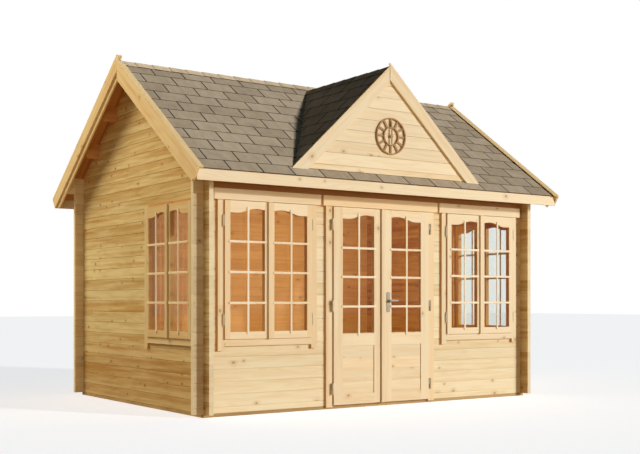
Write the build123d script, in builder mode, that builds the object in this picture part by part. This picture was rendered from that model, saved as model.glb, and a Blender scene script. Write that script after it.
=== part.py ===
"""Garden log cabin with interlocking log corners, a shingled gable roof and a dormer gable.

Millimetres. The origin is on the ground at the middle of the cabin. X runs along the
front from left to right, Y runs to the rear and Z runs up.
"""

from build123d import *
from math import atan, cos, degrees, radians, sin
import os

# House
house_width = 4000            # outer faces of the side walls
house_depth = 2860            # outer faces of the front and rear walls
log_thickness = 44
course = 113                  # height of one log in the wall
sill_height = 31              # ground beams under the walls
front_log_end = 100           # how far a log of the front or rear wall runs past the side wall
side_log_end = 113            # how far a log of a side wall runs past the front or rear wall
log_bevel = 4                 # bevel along the two long edges of a log's outer face
seam = 0.4                    # open line between pieces that lie on each other

# Main roof
roof_rise = 0.7217            # rise over run of the two slopes
ridge_height = 3440           # top of the covering at the ridge
deck_board = 19
covering = 6
barge_reach = 225             # outer face of the barge boards, past the side walls
board = 19                    # thickness of barge boards, fascias and trims
fascia_reach = 275            # outer face of the fascia, past the front wall
fascia_bottom = 2095
purlin_width = 58
purlin_depth = 130
purlin_places = (500, 960)    # from the ridge to the middle of each purlin

# Dormer
dormer_rise = 0.943
dormer_ridge = 3367           # top of its covering
dormer_reach = 180            # outer face of its barge boards, past the front wall
dormer_board = 120            # width of its barge boards
dormer_step = 6               # the right barge board stands this far in front of the left one

# Windows
sash_width = 472
sash_gap = 1
sash_bottom = 700
sash_top = 1960
stile = 55
meeting_stile = 50
bottom_rail = 67
arch_low = 1851               # top of a pane beside its outer stile
arch_curve = ((0.0, 0), (0.29, 2), (0.5, 26), (0.75, 42), (1.0, 34))   # across a pane from there, and rise
sash_thickness = 50
sash_proud = 42               # face of the sashes, in front of the logs
casing_width = 62
casing_proud = 25
casing_foot = 596
sill_board_foot = 637
header_proud = 40
header_bottom = 1965
header_top = 2065
header_lap = 46               # a window's header runs on this far past its casing
lining = 25
sash_stop = 12                # the lining's stop laps behind a sash this far
strip_thickness = 18          # cover strip where two sashes or leaves meet
strip_left = 20               # from the middle of the window to the strip's two edges
strip_right = 25
pane_thickness = 4
pane_place = 20               # back of the glass, in front of the logs
front_window_middle = 1327
side_window_middle = -793

# Doors
leaf_edge = 598               # from the middle of the doorway to the hinge edge
meeting_line = -26            # the leaves meet here, under the left half of the cover strip
leaf_gap = 5                  # from there to each meeting edge
leaf_bottom = 38
leaf_top = 1960
leaf_thickness = 38
leaf_proud = 41
leaf_clearance = 5
door_casing_width = 75
leaf_stile = 105
lock_rail_bottom = 609
door_glass_bottom = 733
jamb = 42
door_strip_left = 24
door_strip_right = 25
hinge_x = 616
hinge_proud = 49              # hinge axis, in front of the logs
hinge_radius = 8
hinge_length = 110
hinge_heights = (198, 1000, 1787)
lever_height = 1052
lever_place = 66
lever_length = 105

os.makedirs("parts", exist_ok=True)


def save(part, name):
    """Label a finished piece and write it under its own name."""
    part.label = name
    export_step(part, f"parts/{name}.step")


half_width = house_width / 2
half_depth = house_depth / 2
wall_x = half_width - log_thickness / 2
wall_y = half_depth - log_thickness / 2
front_first = sill_height + course / 2
side_first = sill_height

roof_angle = degrees(atan(roof_rise))
dormer_angle = degrees(atan(dormer_rise))
deck_apex = ridge_height - covering / cos(radians(roof_angle))
under_apex = deck_apex - deck_board / cos(radians(roof_angle))
barge_apex = ridge_height + 10
barge_x = half_width + barge_reach
deck_x = barge_x - board - seam
fascia_y = half_depth + fascia_reach


def slope(apex, y):
    """Height of a main roof layer at a distance y from the ridge."""
    return apex - roof_rise * abs(y)


def dormer_slope(apex, x):
    """Height of a dormer roof layer at a distance x from its ridge."""
    return apex - dormer_rise * abs(x)


def log_outline(outward, low, high):
    """A log's section, bevelled along its outer face, drawn in the sketch that is open."""
    inner = -outward * log_thickness / 2
    outer = outward * log_thickness / 2
    edge = outward * (log_thickness / 2 - log_bevel)
    Polygon(
        (inner, low), (edge, low), (outer, low + log_bevel),
        (outer, high - log_bevel), (edge, high), (inner, high),
        align=None,
    )


def logs_along_x(y, x_low, x_high, first, count):
    """Stack courses of a front or rear wall between two ends, in the part that is open."""
    start = Plane(origin=(x_low, y, 0), x_dir=(0, 1, 0), z_dir=(1, 0, 0))
    outward = 1 if y > 0 else -1
    with BuildSketch(start) as courses:
        for number in range(count):
            low = first + number * course
            log_outline(outward, low, low + course - seam)
    extrude(courses.sketch, amount=x_high - x_low)


def logs_along_y(x, y_low, y_high, first, count):
    """Stack courses of a side wall between two ends, in the part that is open."""
    start = Plane(origin=(x, y_low, 0), x_dir=(-1, 0, 0), z_dir=(0, 1, 0))
    outward = -1 if x > 0 else 1
    with BuildSketch(start) as courses:
        for number in range(count):
            low = first + number * course
            log_outline(outward, low, low + course - seam)
    extrude(courses.sketch, amount=y_high - y_low)


def notch_corners(along, crossings, first, count, height=course / 2):
    """Cut each log from below where it crosses another wall; half its height is left there as a neck."""
    fit = log_thickness + 2 * seam
    plane = Plane.XZ if along == "x" else Plane.YZ
    with BuildSketch(plane) as notches:
        for place in crossings:
            for number in range(count):
                with Locations((place, first + number * course - seam)):
                    Rectangle(fit, height + seam, align=(Align.CENTER, Align.MIN))
    extrude(notches.sketch, amount=2 * half_width, both=True, mode=Mode.SUBTRACT)


# Ground beams under the walls, with joists under the floor
beam_width = 60
beam_y = half_depth - beam_width / 2
beam_x = half_width - beam_width / 2
joist_width = 45
joist_count = 4
joist_length = house_depth - 2 * beam_width - 2 * seam
with BuildPart() as ground_beams:
    with BuildSketch():
        with Locations((0, -beam_y), (0, beam_y)):
            Rectangle(house_width, beam_width)
        with Locations((-beam_x, 0), (beam_x, 0)):
            Rectangle(beam_width, joist_length)
        with GridLocations(house_width / (joist_count + 1), 0, joist_count, 1):
            Rectangle(joist_width, joist_length)
    extrude(amount=sill_height)
save(ground_beams.part, "ground_beams")

# Floor
floor_board = 19
floor_play = 1                # open line between the floor and the walls
with BuildPart() as floor:
    with BuildSketch(Plane.XY.offset(sill_height)):
        walls = 2 * (log_thickness + floor_play)
        Rectangle(house_width - walls, house_depth - walls)
    extrude(amount=floor_board)
save(floor.part, "floor")

# Front wall: half a log at the bottom, piers beside the windows, whole logs over the door
door_side = leaf_edge + leaf_clearance + jamb + seam
sash_play = 2                 # between a sash and its lining
rough_half = sash_width + sash_gap + sash_play + lining
window_near = front_window_middle - rough_half
window_far = front_window_middle + rough_half
opening_courses = 12
low_courses = 5
opening_low = front_first + low_courses * course
opening_high = opening_low + opening_courses * course
side_opening_high = sash_top + sash_play + lining
log_tip = half_width + front_log_end


def front_wall_half(side):
    """The wall between a corner and the doorway, with its window opening."""
    spans = {
        "low": sorted((side * door_side, side * log_tip)),
        "corner": sorted((side * window_far, side * log_tip)),
        "pier": sorted((side * door_side, side * window_near)),
    }
    start = Plane(origin=(spans["low"][0], -wall_y, 0), x_dir=(0, 1, 0), z_dir=(1, 0, 0))
    with BuildPart() as wall:
        with BuildSketch(start):
            log_outline(-1, sill_height, front_first - seam)
        extrude(amount=spans["low"][1] - spans["low"][0])
        logs_along_x(-wall_y, *spans["low"], front_first, low_courses)
        logs_along_x(-wall_y, *spans["corner"], opening_low, opening_courses)
        logs_along_x(-wall_y, *spans["pier"], opening_low, opening_courses)
        notch_corners("x", (side * wall_x,), front_first, low_courses + opening_courses)
    return wall.part


save(front_wall_half(-1), "front_wall_left")
save(front_wall_half(1), "front_wall_right")

top_courses = 3
plate_course = opening_high + (top_courses - 1) * course
plate_tip = barge_x - 2 * board - 2 * seam


def wall_plate(y):
    """The top log and its bevelled cap, which carry the eaves out to the barge boards.

    The cap stops at each gable, whose lowest log runs through.
    """
    start = Plane(origin=(-plate_tip, y, 0), x_dir=(0, 1, 0), z_dir=(1, 0, 0))
    cap_low = plate_course + course
    outward = 1 if y > 0 else -1
    inner = -outward * log_thickness / 2
    with BuildSketch(start) as plate:
        log_outline(outward, plate_course, cap_low - seam)
        Polygon(
            (-inner, cap_low), (inner, cap_low),
            (inner, slope(under_apex, abs(y) - log_thickness / 2) - seam),
            (-inner, slope(under_apex, abs(y) + log_thickness / 2) - seam),
            align=None,
        )
    extrude(plate.sketch, amount=2 * plate_tip)


with BuildPart() as front_wall_top:
    logs_along_x(-wall_y, -log_tip, log_tip, opening_high, top_courses - 1)
    wall_plate(-wall_y)
    notch_corners("x", (-wall_x, wall_x), opening_high, top_courses)
    notch_corners("x", (-wall_x, wall_x), plate_course + course, 1, course)
save(front_wall_top.part, "front_wall_top")

# Rear wall, plain
whole_courses = low_courses + opening_courses + top_courses - 1
with BuildPart() as rear_wall:
    start = Plane(origin=(-log_tip, wall_y, 0), x_dir=(0, 1, 0), z_dir=(1, 0, 0))
    with BuildSketch(start):
        log_outline(1, sill_height, front_first - seam)
    extrude(amount=2 * log_tip)
    logs_along_x(wall_y, -log_tip, log_tip, front_first, whole_courses)
    wall_plate(wall_y)
    notch_corners("x", (-wall_x, wall_x), front_first, whole_courses + 1)
    notch_corners("x", (-wall_x, wall_x), plate_course + course, 1, course)
save(rear_wall.part, "rear_wall")

# Side walls and gables
side_tip = half_depth + side_log_end
wall_courses = 20
gable_first = side_first + wall_courses * course
gable_courses = 10


def side_wall(x):
    """Courses from the ground beam to the eaves, with the window let in by part of a log above and below."""
    with BuildPart() as wall:
        logs_along_y(x, -side_tip, side_tip, side_first, wall_courses)
        notch_corners("y", (-wall_y, wall_y), side_first, wall_courses)
        with BuildSketch(Plane.YZ):
            with Locations((side_window_middle, (opening_low + side_opening_high) / 2)):
                Rectangle(2 * rough_half, side_opening_high - opening_low)
        extrude(amount=2 * half_width, both=True, mode=Mode.SUBTRACT)
    return wall.part


def purlin_holes():
    """Cut the places where the ridge beam and the purlins pass through a gable, open at its top."""
    over = purlin_width
    with BuildSketch(Plane.YZ) as holes:
        for place in (0, *purlin_places):
            low = slope(under_apex, place) - purlin_depth
            for y in {-place, place}:
                with Locations((y, low - seam)):
                    Rectangle(purlin_width + 2 * seam, purlin_depth + over, align=(Align.CENTER, Align.MIN))
    extrude(holes.sketch, amount=2 * half_width, both=True, mode=Mode.SUBTRACT)


def gable(x):
    """The upper courses of a side wall, cut to the two slopes."""
    with BuildPart() as wall:
        logs_along_y(x, -side_tip, side_tip, gable_first, gable_courses)
        with BuildSketch(Plane.YZ):
            Polygon(
                (0, under_apex - 1), (side_tip, slope(under_apex, side_tip) - 1),
                (side_tip, gable_first - course), (-side_tip, gable_first - course),
                (-side_tip, slope(under_apex, side_tip) - 1),
                align=None,
            )
        extrude(amount=2 * half_width, both=True, mode=Mode.INTERSECT)
        notch_corners("y", (-wall_y, wall_y), gable_first, 1)
        purlin_holes()
    return wall.part


for side, name in ((-1, "left"), (1, "right")):
    save(side_wall(side * wall_x), f"{name}_wall")
    save(gable(side * wall_x), f"{name}_gable")

# Ridge beam and purlins
purlin_tip = plate_tip
end_bevel = 60
with BuildPart() as ridge_beam:
    with BuildSketch(Plane(origin=(-purlin_tip, 0, 0), x_dir=(0, 1, 0), z_dir=(1, 0, 0))):
        edge = purlin_width / 2
        Polygon(
            (-edge, under_apex - purlin_depth), (edge, under_apex - purlin_depth),
            (edge, slope(under_apex, edge) - seam), (0, under_apex - seam), (-edge, slope(under_apex, edge) - seam),
            align=None,
        )
    extrude(amount=2 * purlin_tip)
    chamfer(ridge_beam.faces().sort_by(Axis.Z)[0].edges().filter_by(Axis.Y), end_bevel)
save(ridge_beam.part, "ridge_beam")

with BuildPart() as purlins:
    with BuildSketch(Plane(origin=(-purlin_tip, 0, 0), x_dir=(0, 1, 0), z_dir=(1, 0, 0))):
        for place in purlin_places:
            low = slope(under_apex, place) - purlin_depth
            for way in (-1, 1):
                near = way * (place - purlin_width / 2)
                far = way * (place + purlin_width / 2)
                Polygon(
                    (near, low), (far, low),
                    (far, slope(under_apex, far) - seam), (near, slope(under_apex, near) - seam),
                    align=None,
                )
    extrude(amount=2 * purlin_tip)
    lower = purlins.edges().filter_by(Axis.Y)
    for place in purlin_places:
        low = slope(under_apex, place) - purlin_depth
        chamfer(lower.filter_by_position(Axis.Z, low - 1, low + 1), end_bevel)
        lower = purlins.edges().filter_by(Axis.Y)
save(purlins.part, "purlins")


def roof_layer(way, low_apex, high_apex, x_reach, y_near, y_far):
    """One even layer of a main roof slope; way is -1 for the front slope and 1 for the rear."""
    with BuildPart() as layer:
        with BuildSketch(Plane(origin=(-x_reach, 0, 0), x_dir=(0, 1, 0), z_dir=(1, 0, 0))):
            Polygon(
                (way * y_near, slope(low_apex, y_near)), (way * y_far, slope(low_apex, y_far)),
                (way * y_far, slope(high_apex, y_far)), (way * y_near, slope(high_apex, y_near)),
                align=None,
            )
        extrude(amount=2 * x_reach)
    return layer.part


# Roof boards, covering, ridge cap
deck_y = fascia_y - board - seam
drip = 13
for way, name in ((-1, "front"), (1, "rear")):
    save(roof_layer(way, under_apex, deck_apex - seam, deck_x, seam, deck_y), f"roof_boards_{name}")
    save(roof_layer(way, deck_apex, ridge_height, deck_x, seam, fascia_y + drip), f"roof_covering_{name}")

cap_width = 80
cap_thickness = 8
with BuildPart() as ridge_cap:
    with BuildSketch(Plane(origin=(-deck_x, 0, 0), x_dir=(0, 1, 0), z_dir=(1, 0, 0))):
        Polygon(
            (0, ridge_height + seam), (cap_width, slope(ridge_height, cap_width) + seam),
            (cap_width, slope(ridge_height, cap_width) + cap_thickness), (0, ridge_height + cap_thickness),
            (-cap_width, slope(ridge_height, cap_width) + cap_thickness),
            (-cap_width, slope(ridge_height, cap_width) + seam),
            align=None,
        )
    extrude(amount=2 * deck_x)
save(ridge_cap.part, "ridge_cap")

# Barge boards at the two gable ends, with a cover strip on top and an inner board beneath
barge_width = 115
strip_width = 60
strip_top = 16
inner_width = 132
barge_tip = 1750
barge_lap = 37                # the rear boards run on this far over the ridge and meet the front ones there
run = cos(radians(roof_angle))
rise = sin(radians(roof_angle))


def sloping_board(way, apex, width, start, tip, x_low, x_high):
    """A straight board down one slope, plumb cut at its upper end and square cut at its tip.

    start and tip are distances from the ridge; a start below 0 lies past the ridge.
    """
    top = apex - roof_rise * start
    tip_height = apex - roof_rise * tip
    with BuildSketch(Plane(origin=(x_low, 0, 0), x_dir=(0, 1, 0), z_dir=(1, 0, 0))) as outline:
        Polygon(
            (way * start, top), (way * tip, tip_height),
            (way * (tip - width * rise), tip_height - width * run), (way * start, top - width / run),
            align=None,
        )
    extrude(outline.sketch, amount=x_high - x_low)


for side, name in ((-1, "left"), (1, "right")):
    with BuildPart() as barge_boards:
        outer = sorted((side * (barge_x - board), side * barge_x))
        strip = sorted((side * (barge_x - strip_width), side * barge_x))
        inner = sorted((side * (barge_x - 2 * board), side * (barge_x - board - seam)))
        for way in (-1, 1):
            start = seam - way * barge_lap
            sloping_board(way, barge_apex, barge_width, start, barge_tip, *outer)
            sloping_board(way, barge_apex + strip_top, strip_top * run, start, barge_tip, *strip)
            sloping_board(way, under_apex - seam, inner_width, seam, fascia_y - board - seam, *inner)
    save(barge_boards.part, f"barge_boards_{name}")

# Fascias
for way, name in ((-1, "front"), (1, "rear")):
    with BuildPart() as fascia:
        near = fascia_y - board
        with BuildSketch(Plane(origin=(-deck_x, 0, 0), x_dir=(0, 1, 0), z_dir=(1, 0, 0))):
            Polygon(
                (way * near, fascia_bottom), (way * fascia_y, fascia_bottom),
                (way * fascia_y, slope(deck_apex, fascia_y) - seam), (way * near, slope(deck_apex, near) - seam),
                align=None,
            )
        extrude(amount=2 * deck_x)
    save(fascia.part, f"fascia_{name}")

# Dormer: a boarded triangle, two small slopes and barge boards, all standing on the front slope
dormer_deck = dormer_ridge - covering / cos(radians(dormer_angle))
dormer_under = dormer_deck - deck_board / cos(radians(dormer_angle))
dormer_face = -(half_depth + dormer_reach)
dormer_wall_face = dormer_face + board + seam


def clear_of_main_roof():
    """Cut away what would be inside the main roof."""
    with BuildSketch(Plane.YZ) as roof:
        Polygon(
            (0, ridge_height + cap_thickness + seam),
            (-cap_width - seam, slope(ridge_height, cap_width) + cap_thickness + seam),
            (-cap_width - seam, slope(ridge_height, cap_width + seam) + seam),
            (-2 * half_depth, slope(ridge_height, 2 * half_depth) + seam),
            (-2 * half_depth, 0), (2 * half_depth, 0),
            (2 * half_depth, slope(ridge_height, 2 * half_depth) + seam),
            align=None,
        )
    extrude(roof.sketch, amount=2 * half_width, both=True, mode=Mode.SUBTRACT)


with BuildPart() as dormer_wall:
    foot = (dormer_under - slope(ridge_height, abs(dormer_face))) / dormer_rise
    with BuildSketch(Plane(origin=(0, dormer_wall_face, 0), x_dir=(1, 0, 0), z_dir=(0, -1, 0))):
        Polygon(
            (0, dormer_under - seam), (foot, dormer_slope(dormer_under, foot) - seam),
            (-foot, dormer_slope(dormer_under, foot) - seam),
            align=None,
        )
    extrude(amount=-board)
    clear_of_main_roof()
save(dormer_wall.part, "dormer_wall")


def dormer_layer(way, low_apex, high_apex, y_front):
    """One layer of a dormer slope, running back until it meets the main roof in a valley."""
    reach = (dormer_ridge - slope(ridge_height, abs(dormer_face) + 20)) / dormer_rise
    with BuildPart() as layer:
        with BuildSketch(Plane(origin=(0, y_front, 0), x_dir=(1, 0, 0), z_dir=(0, -1, 0))):
            Polygon(
                (way * seam, dormer_slope(low_apex, seam)), (way * reach, dormer_slope(low_apex, reach)),
                (way * reach, dormer_slope(high_apex, reach)), (way * seam, dormer_slope(high_apex, seam)),
                align=None,
            )
        extrude(amount=-abs(y_front))
        clear_of_main_roof()
    return layer.part


for way, name in ((-1, "left"), (1, "right")):
    save(dormer_layer(way, dormer_under, dormer_deck - seam, dormer_wall_face), f"dormer_boards_{name}")
    save(dormer_layer(way, dormer_deck, dormer_ridge, dormer_wall_face), f"dormer_covering_{name}")

dormer_barge_apex = dormer_ridge + 10
dormer_lap = 20               # the right board runs on this far over the ridge
dormer_barge_foot = (dormer_barge_apex - slope(ridge_height, abs(dormer_face))) / dormer_rise + 2 * board
with BuildPart() as dormer_barge_boards:
    drop = dormer_board / cos(radians(dormer_angle))
    end_height = dormer_barge_apex - dormer_rise * dormer_barge_foot
    for way, thickness in ((-1, board), (1, board + dormer_step)):
        start = seam - way * dormer_lap
        top = dormer_barge_apex - dormer_rise * start
        with BuildSketch(Plane(origin=(0, dormer_face + board, 0), x_dir=(1, 0, 0), z_dir=(0, -1, 0))):
            Polygon(
                (way * start, top), (way * dormer_barge_foot, end_height),
                (way * dormer_barge_foot, end_height - drop), (way * start, top - drop),
                align=None,
            )
        extrude(amount=thickness)
    clear_of_main_roof()
save(dormer_barge_boards.part, "dormer_barge_boards")

# Dormer ridge cap
with BuildPart() as dormer_ridge_cap:
    with BuildSketch(Plane(origin=(0, dormer_wall_face, 0), x_dir=(1, 0, 0), z_dir=(0, -1, 0))):
        Polygon(
            (0, dormer_ridge + seam), (cap_width, dormer_slope(dormer_ridge, cap_width) + seam),
            (cap_width, dormer_slope(dormer_ridge, cap_width) + cap_thickness), (0, dormer_ridge + cap_thickness),
            (-cap_width, dormer_slope(dormer_ridge, cap_width) + cap_thickness),
            (-cap_width, dormer_slope(dormer_ridge, cap_width) + seam),
            align=None,
        )
    extrude(amount=dormer_wall_face)
    clear_of_main_roof()
save(dormer_ridge_cap.part, "dormer_ridge_cap")

# Clock on the dormer wall: two rings joined by twelve lower bars, and two hands
dial_height = 2675
dial_radius = 183
dial_inner = 95
dial_rim = 12
ring_relief = 18
bar_relief = 12
bar_width = 20
dial_sides = 36
hub_radius = 12
hub_sides = 12
hand_gap = 2
hand_thickness = 4
minute_hand = 150
hour_hand = 84
dial_plane = Plane(origin=(0, dormer_wall_face - seam, dial_height), x_dir=(1, 0, 0), z_dir=(0, -1, 0))
with BuildPart() as clock_dial:
    with BuildSketch(dial_plane):
        for radius in (dial_radius, dial_inner):
            RegularPolygon(radius, dial_sides)
            RegularPolygon(radius - dial_rim, dial_sides, mode=Mode.SUBTRACT)
    extrude(amount=ring_relief)
    with BuildSketch(dial_plane):
        middle = (dial_radius + dial_inner - dial_rim) / 2
        with PolarLocations(middle, 12):
            Rectangle(dial_radius - dial_inner, bar_width)
    extrude(amount=bar_relief)
save(clock_dial.part, "clock_dial")


def hand(root, length, way):
    """A hand that tapers from its root and ends in a point; way is 1 up and -1 down."""
    tip = root * 2 / 3
    Polygon(
        (-root, 0), (root, 0), (tip, way * length * 0.87), (0, way * length), (-tip, way * length * 0.87),
        align=None,
    )


with BuildPart() as clock_hands:
    with BuildSketch(dial_plane.offset(ring_relief + hand_gap)):
        RegularPolygon(1.5 * hub_radius, hub_sides)
        hand(8, minute_hand, 1)
        hand(10, hour_hand, -1)
    extrude(amount=hand_thickness)
    with BuildSketch(dial_plane):
        RegularPolygon(hub_radius, hub_sides)
    extrude(amount=ring_relief + hand_gap)
save(clock_hands.part, "clock_hands")


def arched_outline(way, near, far, bottom, grow=0):
    """Outline of a pane whose top rises in a double curve from its outer side to its inner side.

    near and far are distances from the middle of the window or doorway, and way is the side.
    """
    inner = near - grow
    outer = far + grow
    crest = [(way * (outer + (inner - outer) * part), arch_low + grow + lift) for part, lift in arch_curve]
    with BuildSketch() as outline:
        with BuildLine():
            top = Spline(*crest, tangents=((-way, 0), (-way, -0.1)))
            Polyline(top @ 1, (way * inner, bottom - grow), (way * outer, bottom - grow), top @ 0)
        make_face()
    return outline.sketch


def window(name, plane, frame_top, header=True):
    """Casing and lining, two fixed sashes and their glass, drawn on the wall's outer face."""
    outer = sash_width + sash_gap
    casing_edge = outer + sash_play
    lining_back = log_thickness + 8
    sash_back = sash_proud - sash_thickness
    header_half = outer + casing_width + header_lap
    middle = (sash_bottom + sash_top) / 2
    height = sash_top - sash_bottom + 2 * sash_play
    with BuildPart() as frame:
        with BuildSketch(plane.offset(-lining_back)):
            with Locations((0, (opening_low + frame_top) / 2)):
                Rectangle(2 * (rough_half - 1), frame_top - opening_low - 2)
            with Locations((0, middle)):
                Rectangle(2 * casing_edge, height, mode=Mode.SUBTRACT)
        extrude(amount=lining_back - 1)
        with BuildSketch(plane.offset(-lining_back)):
            with Locations((0, middle)):
                Rectangle(2 * casing_edge, height)
                Rectangle(2 * (casing_edge - sash_stop), height - 2 * sash_stop, mode=Mode.SUBTRACT)
        extrude(amount=lining_back + sash_back - seam)
        with BuildSketch(plane):
            for way in (-1, 1):
                with Locations((way * (casing_edge + casing_width / 2), (casing_foot + header_bottom) / 2)):
                    Rectangle(casing_width, header_bottom - casing_foot - 2 * seam)
            with Locations((0, (sill_board_foot + sash_bottom - sash_play) / 2)):
                Rectangle(2 * (casing_edge - seam), sash_bottom - sash_play - sill_board_foot)
        extrude(amount=casing_proud)
        if header:
            with BuildSketch(plane):
                with Locations((0, (header_bottom + header_top) / 2)):
                    Rectangle(2 * header_half, header_top - header_bottom)
            extrude(amount=header_proud)
    save(frame.part, f"{name}_window_frame")
    near = sash_gap + meeting_stile
    far = outer - stile
    pane_bottom = sash_bottom + bottom_rail
    with BuildPart() as sashes:
        with BuildSketch(plane.offset(sash_back)):
            for way in (-1, 1):
                with Locations((way * (outer + sash_gap) / 2, middle)):
                    Rectangle(sash_width, sash_top - sash_bottom)
            for way in (-1, 1):
                add(arched_outline(way, near, far, pane_bottom), mode=Mode.SUBTRACT)
        extrude(amount=sash_thickness)
        with BuildSketch(plane.offset(sash_proud + seam)):
            with Locations(((strip_right - strip_left) / 2, middle)):
                Rectangle(strip_left + strip_right, sash_top - sash_bottom)
        extrude(amount=strip_thickness)
    save(sashes.part, f"{name}_window_sashes")
    with BuildPart() as glass:
        with BuildSketch(plane.offset(pane_place)):
            for way in (-1, 1):
                add(arched_outline(way, near, far, pane_bottom, -seam))
        extrude(amount=pane_thickness)
    save(glass.part, f"{name}_window_glass")


front_left = Plane(origin=(-front_window_middle, -half_depth, 0), x_dir=(1, 0, 0), z_dir=(0, -1, 0))
front_right = Plane(origin=(front_window_middle, -half_depth, 0), x_dir=(1, 0, 0), z_dir=(0, -1, 0))
left_side = Plane(origin=(-half_width, side_window_middle, 0), x_dir=(0, -1, 0), z_dir=(-1, 0, 0))
right_side = Plane(origin=(half_width, side_window_middle, 0), x_dir=(0, 1, 0), z_dir=(1, 0, 0))
window("front_left", front_left, opening_high)
window("front_right", front_right, opening_high)
window("left_side", left_side, side_opening_high, header=False)
window("right_side", right_side, side_opening_high, header=False)

# Door frame: jambs with stops, head and threshold, then the casing boards
door_plane = Plane(origin=(0, -half_depth, 0), x_dir=(1, 0, 0), z_dir=(0, -1, 0))
jamb_near = leaf_edge + leaf_clearance
stop_front = leaf_proud - leaf_thickness - leaf_clearance
frame_back = -log_thickness
head_low = leaf_top + leaf_clearance
stop_width = 20
floor_top = sill_height + floor_board
with BuildPart() as door_frame:
    with BuildSketch(door_plane.offset(frame_back)):
        for way in (-1, 1):
            with Locations((way * (jamb_near + jamb / 2), (sill_height + opening_high) / 2)):
                Rectangle(jamb - seam, opening_high - sill_height - 2 * seam)
        with Locations((0, (head_low + opening_high) / 2)):
            Rectangle(2 * jamb_near - 2 * seam, opening_high - head_low - 2 * seam)
    extrude(amount=-frame_back)
    with BuildSketch(door_plane.offset(frame_back)):
        for way in (-1, 1):
            with Locations((way * (jamb_near - stop_width / 2), (floor_top + head_low) / 2)):
                Rectangle(stop_width - seam, head_low - floor_top - 4)
        with Locations((0, (sill_height + floor_top) / 2)):
            Rectangle(2 * jamb_near - 2 * seam, floor_top - sill_height - seam)
    extrude(amount=stop_front - frame_back)
save(door_frame.part, "door_frame")

casing_bottom = 18
door_header_half = 718
with BuildPart() as door_casing:
    with BuildSketch(door_plane):
        for way in (-1, 1):
            with Locations((way * (jamb_near + door_casing_width / 2), (casing_bottom + header_bottom) / 2)):
                Rectangle(door_casing_width, header_bottom - casing_bottom - 2 * seam)
    extrude(amount=casing_proud)
    with BuildSketch(door_plane):
        with Locations((0, (header_bottom + header_top) / 2)):
            Rectangle(2 * door_header_half, header_top - header_bottom)
    extrude(amount=header_proud)
save(door_casing.part, "door_casing")

# Door leaves, each with an arched glass opening over a sunk panel
panel_bottom = 140
panel_sunk = 8
spindle_hole = 7
hole_sides = 8
leaf_back = leaf_proud - leaf_thickness
glass_near = 109              # from the middle of the doorway to a pane
glass_far = leaf_edge - leaf_stile


def door_leaf(way):
    """One leaf; way is -1 for the left leaf and 1 for the right, which carries the cover strip."""
    edge = meeting_line + way * leaf_gap
    with BuildPart() as leaf:
        with BuildSketch(door_plane.offset(leaf_back)):
            with Locations(((way * leaf_edge + edge) / 2, (leaf_bottom + leaf_top) / 2)):
                Rectangle(abs(way * leaf_edge - edge), leaf_top - leaf_bottom)
            add(arched_outline(way, glass_near, glass_far, door_glass_bottom), mode=Mode.SUBTRACT)
        extrude(amount=leaf_thickness)
        panel = Location((way * (glass_near + glass_far) / 2, (panel_bottom + lock_rail_bottom) / 2))
        for face in (leaf_proud, leaf_back + panel_sunk):
            with BuildSketch(door_plane.offset(face)):
                with Locations(panel):
                    Rectangle(glass_far - glass_near, lock_rail_bottom - panel_bottom)
            extrude(amount=-panel_sunk, mode=Mode.SUBTRACT)
        if way > 0:
            with BuildSketch(door_plane.offset(leaf_proud)):
                with Locations((lever_place, lever_height)):
                    RegularPolygon(spindle_hole, hole_sides)
            extrude(amount=-leaf_thickness, mode=Mode.SUBTRACT)
            with BuildSketch(door_plane.offset(leaf_proud + seam)):
                with Locations(((door_strip_right - door_strip_left) / 2, (leaf_bottom + leaf_top) / 2)):
                    Rectangle(door_strip_left + door_strip_right, leaf_top - leaf_bottom)
            extrude(amount=strip_thickness)
    return leaf.part


def door_glass(way):
    """The pane of one leaf."""
    with BuildPart() as pane:
        with BuildSketch(door_plane.offset(pane_place)):
            add(arched_outline(way, glass_near, glass_far, door_glass_bottom, -seam))
        extrude(amount=pane_thickness)
    return pane.part


hinge_play = 1
barrel_sides = 12
hinge_block = 12


def hinge_halves(way, moving):
    """Three hinge halves of one leaf: a barrel, with a block to the leaf's edge or back to the casing."""
    length = hinge_length / 2 - hinge_play
    with BuildPart() as halves:
        for height in hinge_heights:
            low = height + hinge_play if moving else height - hinge_length / 2
            with BuildSketch(Plane.XY.offset(low)):
                with Locations((way * hinge_x, -half_depth - hinge_proud)):
                    RegularPolygon(hinge_radius, barrel_sides)
                if moving:
                    reach = hinge_x - hinge_radius / 2 - leaf_edge
                    with Locations((way * (leaf_edge + reach / 2), -half_depth - hinge_proud + hinge_block * 0.8)):
                        Rectangle(reach, hinge_block)
                else:
                    reach = hinge_proud - hinge_radius / 2 - casing_proud
                    with Locations((way * hinge_x, -half_depth - casing_proud - reach / 2)):
                        Rectangle(hinge_block, reach)
            extrude(amount=length)
    return halves.part


for way, name in ((-1, "left"), (1, "right")):
    save(door_leaf(way), f"door_leaf_{name}")
    save(door_glass(way), f"door_glass_{name}")
    save(hinge_halves(way, True), f"door_hinges_{name}")
    save(hinge_halves(way, False), f"frame_hinges_{name}")

# Handle on the right leaf: a long plate on each face, and a lever each side of one square spindle
plate_width = 38
plate_height = 200
plate_drop = 15               # from the spindle down to the middle of the plate
plate_corner = 6
plate_thickness = 6
spindle = 8
neck = 9
neck_sides = 12
neck_length = 40
arm_thickness = 11
arm_corner = 6
lever_play = 1
with BuildPart() as handle_plates:
    for face, out in ((leaf_proud, 1), (leaf_back, -1)):
        with BuildSketch(door_plane.offset(face)) as plate:
            with Locations((lever_place, lever_height - plate_drop)):
                Rectangle(plate_width, plate_height)
            chamfer(plate.vertices(), plate_corner)
            with Locations((lever_place, lever_height)):
                RegularPolygon(spindle_hole, hole_sides, mode=Mode.SUBTRACT)
        extrude(amount=out * plate_thickness)
save(handle_plates.part, "handle_plates")

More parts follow.
